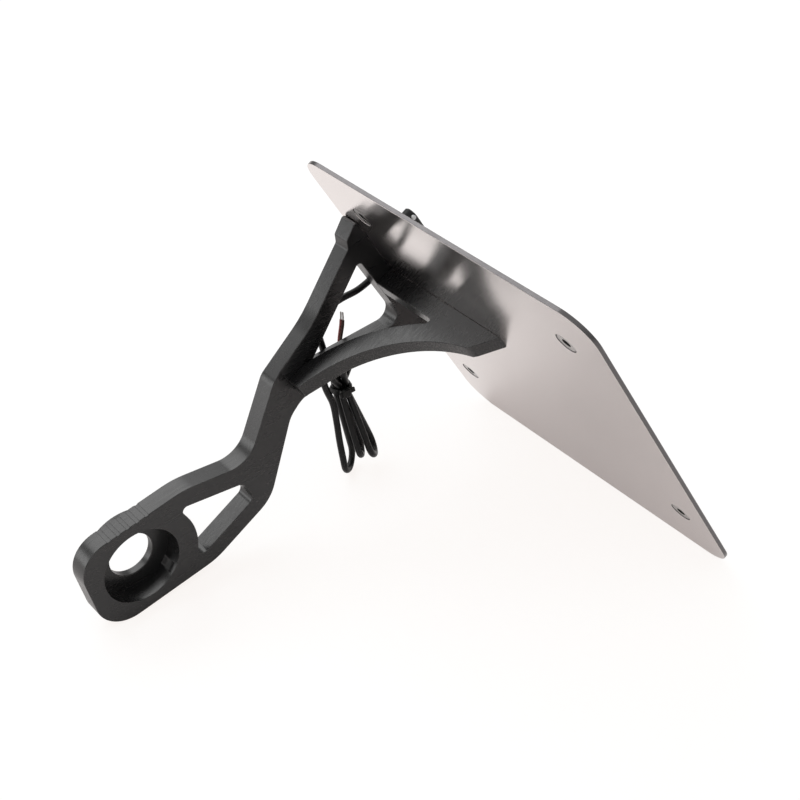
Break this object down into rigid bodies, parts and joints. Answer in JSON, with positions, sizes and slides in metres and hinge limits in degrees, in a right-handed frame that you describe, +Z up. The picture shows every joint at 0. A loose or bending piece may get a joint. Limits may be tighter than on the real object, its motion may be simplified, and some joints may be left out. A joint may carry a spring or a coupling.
{
  "type": "tail tidy",
  "caption": "Motorbike tail tidy: a flat windowed black arm with an axle bore and a curved brace carries a number plate's backing plate and a small lamp on a lead.",
  "frame": {"origin": "centre of the axle bore, in the face of the boss round it", "axes": "Y is the axis of the axle bore and points from the boss face through the arm, Z is up as the part stands on its plate's lower edge and the arm's end, X points from the backing plate towards the bore"},
  "size_m": [0.2362, 0.1851, 0.1801],
  "materials": {
    "plate": "satin, almost a mirror",
    "billet": "black anodised, satin",
    "insert": "zinc plated",
    "screw": "zinc plated",
    "foam_tape": "matt",
    "lamp_plastic": "satin",
    "circuit_board": "solder mask",
    "led": "clear over yellow",
    "lens": "clear plastic",
    "lead_rubber": "matt",
    "tie_plastic": "satin",
    "wire_brown": "satin",
    "wire_red": "satin",
    "tinned_tip": "tinned copper"
  },
  "bodies": {
    "root": {"backing_plate": "plate", "arm": "billet", "brace": "billet", "insert_upper_left": "insert", "insert_upper_right": "insert", "insert_lower_left": "insert", "insert_lower_right": "insert", "arm_foot_screws": "screw", "brace_foot_screws": "screw", "brace_side_screws": "screw", "lamp_pad": "foam_tape", "lamp_housing": "lamp_plastic", "lamp_board": "circuit_board", "lamp_leds": "led", "lamp_lens": "lens", "lamp_gland": "lead_rubber", "lamp_cable": "lead_rubber", "cable_hank": "lead_rubber", "cable_tie": "tie_plastic", "cable_tail": "lead_rubber", "wire_brown": "wire_brown", "wire_red": "wire_red", "wire_tips": "tinned_tip"}
  },
  "joints": []
}
